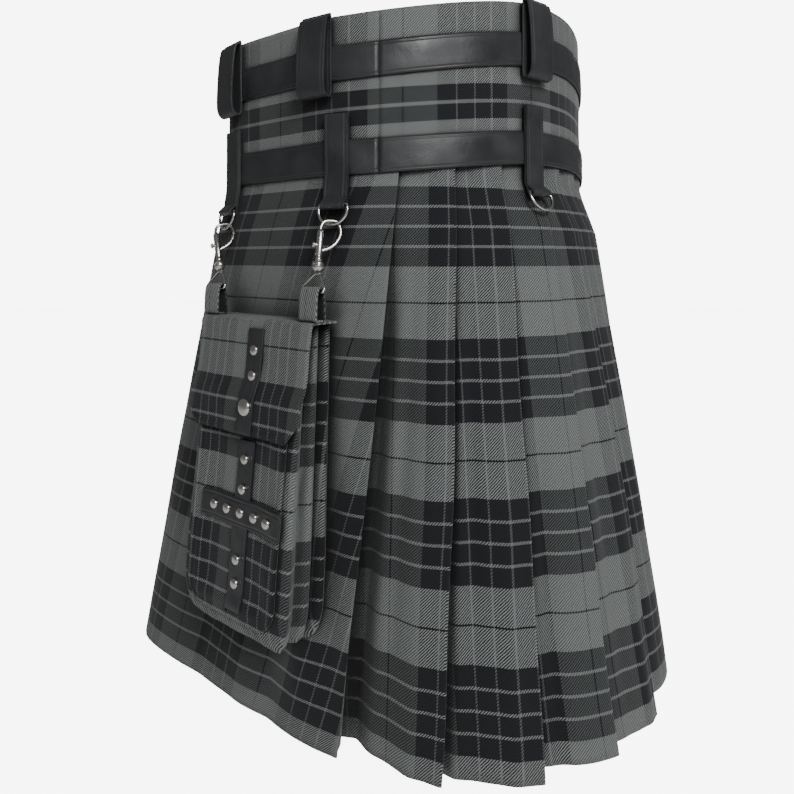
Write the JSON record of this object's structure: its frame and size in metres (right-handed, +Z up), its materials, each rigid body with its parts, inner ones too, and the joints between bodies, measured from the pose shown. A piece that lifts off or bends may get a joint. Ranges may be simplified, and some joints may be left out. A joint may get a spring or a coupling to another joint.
{
  "type": "utility kilt",
  "caption": "Tartan utility kilt: flat front apron, knife-pleated back, leather waist strips and belt loops, cargo side pockets hung on rings and hooks.",
  "frame": {"origin": "middle of the waist opening, on the waist line, level with the belt", "axes": "+Z up, the wearer faces -Y, +X is the wearer's left"},
  "size_m": [0.4986, 0.4837, 0.624],
  "materials": {
    "tartan_cloth": "matt woven twill",
    "leather": "smooth, soft sheen",
    "nickel": "bright nickel plate"
  },
  "bodies": {
    "kilt": {"yoke_front": "tartan_cloth", "yoke_back": "tartan_cloth", "over_apron": "tartan_cloth", "under_apron": "tartan_cloth", "pleated_back": "tartan_cloth", "pocket_bag_left": "tartan_cloth", "pocket_patch_left": "tartan_cloth", "pocket_flap_left": "tartan_cloth", "pocket_tab_front_left": "tartan_cloth", "pocket_tab_side_left": "tartan_cloth", "pocket_bag_right": "tartan_cloth", "pocket_patch_right": "tartan_cloth", "pocket_flap_right": "tartan_cloth", "pocket_tab_front_right": "tartan_cloth", "pocket_tab_side_right": "tartan_cloth", "upper_strip_front": "leather", "upper_strip_back": "leather", "lower_strip_front": "leather", "lower_strip_back": "leather", "flap_strip_left": "leather", "pocket_cross_left": "leather", "belt_loop_front_left": "leather", "ring_strap_front_left": "leather", "belt_loop_side_left": "leather", "ring_strap_side_left": "leather", "flap_strip_right": "leather", "pocket_cross_right": "leather", "belt_loop_front_right": "leather", "ring_strap_front_right": "leather", "belt_loop_side_right": "leather", "ring_strap_side_right": "leather", "belt_loop_back": "leather", "ring_strap_back": "leather", "snap_upper": "nickel", "snap_lower": "nickel", "d_ring_front_left": "nickel", "wire_link_front_left": "nickel", "snap_hook_front_left": "nickel", "d_ring_side_left": "nickel", "wire_link_side_left": "nickel", "snap_hook_side_left": "nickel", "d_ring_front_right": "nickel", "wire_link_front_right": "nickel", "snap_hook_front_right": "nickel", "d_ring_side_right": "nickel", "wire_link_side_right": "nickel", "snap_hook_side_right": "nickel"},
    "ring": {"d_ring_back": "nickel"}
  },
  "joints": [
    {"name": "back_ring_hinge", "type": "hinge", "parent": "kilt", "child": "ring", "pos_m": [0.04468, 0.15047, -0.12096], "axis": [0.9809, -0.1947, 0], "range_deg": [0, 130]}
  ]
}
